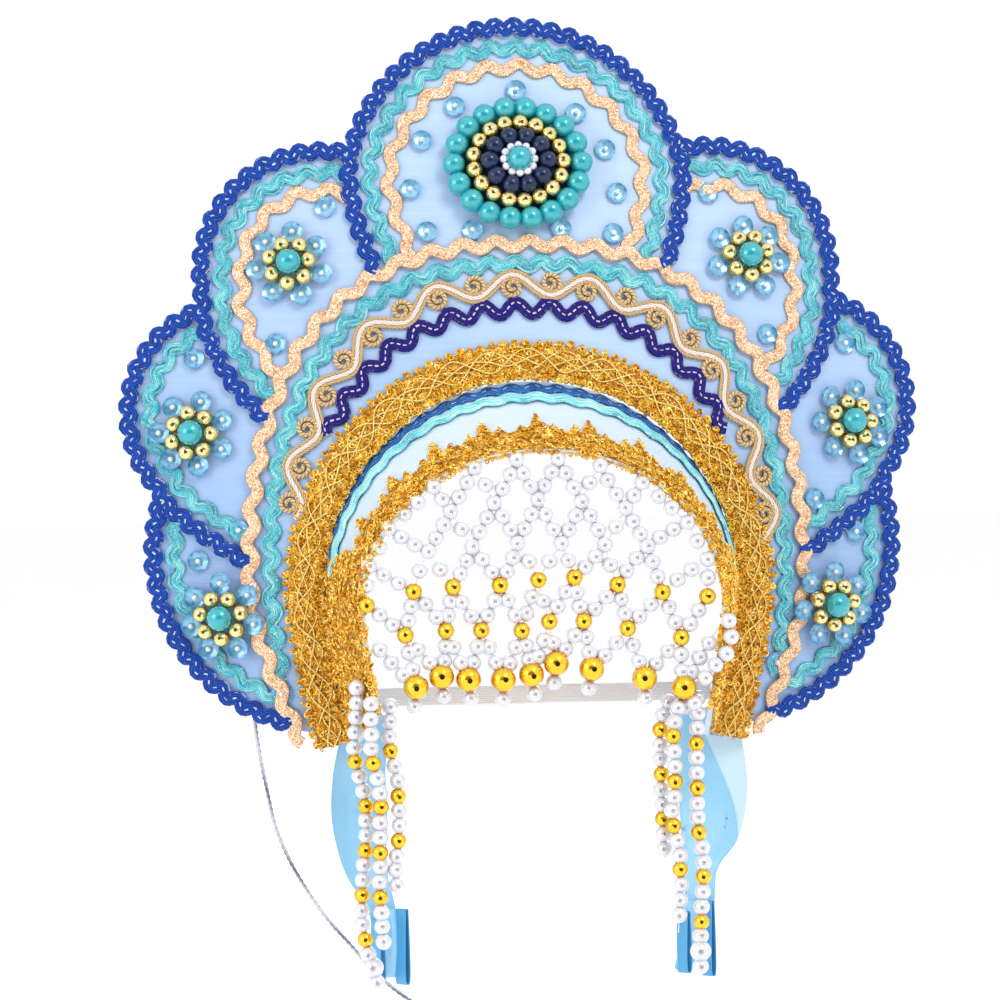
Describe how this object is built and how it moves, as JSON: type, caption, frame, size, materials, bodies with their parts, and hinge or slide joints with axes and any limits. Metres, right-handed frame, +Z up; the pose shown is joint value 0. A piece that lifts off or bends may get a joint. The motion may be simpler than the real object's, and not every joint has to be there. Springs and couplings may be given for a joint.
{
  "type": "kokoshnik headdress",
  "caption": "Lobed satin headdress with a head opening, rows of braid, beaded flowers and boss, a pearl net over the forehead, bead strands at the temples and satin ties.",
  "frame": {"origin": "middle of the head opening's width, level with the crest's feet, at the plane of the opening", "axes": "+Z up, the front faces -Y, +X to the right of someone who faces the wearer"},
  "size_m": [0.319, 0.0934, 0.3978],
  "materials": {
    "crest_satin": "satin, padded",
    "band_satin": "pale satin",
    "gold_braid": "woven metallic thread",
    "navy_braid": "woven, with white stitches",
    "scroll_cord": "twisted metallic cord",
    "peach_braid": "glittering weave",
    "turquoise_braid": "woven, with gold threads",
    "royal_blue_braid": "woven, with silver threads",
    "white_pearl": "pearl lustre",
    "teal_pearl": "pearl lustre",
    "tie_satin": "satin ribbon",
    "elastic": "woven elastic",
    "silver_cord": "twisted metallic thread"
  },
  "bodies": {
    "root": {"arch_peach_rickrack": "peach_braid", "arch_turquoise_rickrack": "turquoise_braid", "band_blue_rickrack": "royal_blue_braid", "band_turquoise_rickrack": "turquoise_braid", "blue_rickrack_lower_left": "royal_blue_braid", "blue_rickrack_lower_right": "royal_blue_braid", "blue_rickrack_middle_left": "royal_blue_braid", "blue_rickrack_middle_right": "royal_blue_braid", "blue_rickrack_top": "royal_blue_braid", "blue_rickrack_upper_left": "royal_blue_braid", "blue_rickrack_upper_right": "royal_blue_braid", "brow_band": "band_satin", "crest": "crest_satin", "elastic_strap": "elastic", "flower_lower_left": "teal_pearl", "flower_lower_right": "teal_pearl", "flower_middle_left": "teal_pearl", "flower_middle_right": "teal_pearl", "flower_upper_left": "teal_pearl", "flower_upper_right": "teal_pearl", "gimp_braid": "gold_braid", "medallion": "teal_pearl", "navy_rickrack": "navy_braid", "peach_rickrack_top": "peach_braid", "peach_rickrack_upper_left": "peach_braid", "peach_rickrack_upper_right": "peach_braid", "pearl_net": "white_pearl", "picot_trim": "gold_braid", "ribbon_left": "tie_satin", "ribbon_right": "tie_satin", "scroll_braid": "scroll_cord", "strand_left_inner": "white_pearl", "strand_left_middle": "white_pearl", "strand_left_outer": "white_pearl", "strand_right_inner": "white_pearl", "strand_right_middle": "white_pearl", "strand_right_outer": "white_pearl", "tie_cord": "silver_cord", "tie_cord_knot": "silver_cord", "turquoise_rickrack_lower_left": "turquoise_braid", "turquoise_rickrack_lower_right": "turquoise_braid", "turquoise_rickrack_middle_left": "turquoise_braid", "turquoise_rickrack_middle_right": "turquoise_braid", "turquoise_rickrack_top": "turquoise_braid", "turquoise_rickrack_upper_left": "turquoise_braid", "turquoise_rickrack_upper_right": "turquoise_braid"}
  },
  "joints": []
}
